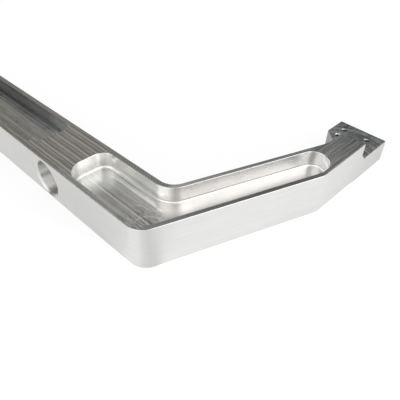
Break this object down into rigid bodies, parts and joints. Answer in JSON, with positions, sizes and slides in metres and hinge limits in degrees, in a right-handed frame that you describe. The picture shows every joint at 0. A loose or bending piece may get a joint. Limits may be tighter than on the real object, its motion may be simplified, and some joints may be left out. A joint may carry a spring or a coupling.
{
  "type": "machined arm, angled",
  "caption": "Milled aluminium L-shaped arm with open pockets, a cross bore and a stepped screw seat at one end.",
  "frame": {"origin": "middle of the cross bore, on its axis", "axes": "+Z out of the pocketed top faces, +Y along the wide arm away from the corner, +X across the wide arm towards its inner side"},
  "size_m": [0.2109, 0.3428, 0.0315],
  "materials": {
    "machined_aluminium": "machined"
  },
  "bodies": {
    "root": {"machined_arm": "machined_aluminium"}
  },
  "joints": []
}
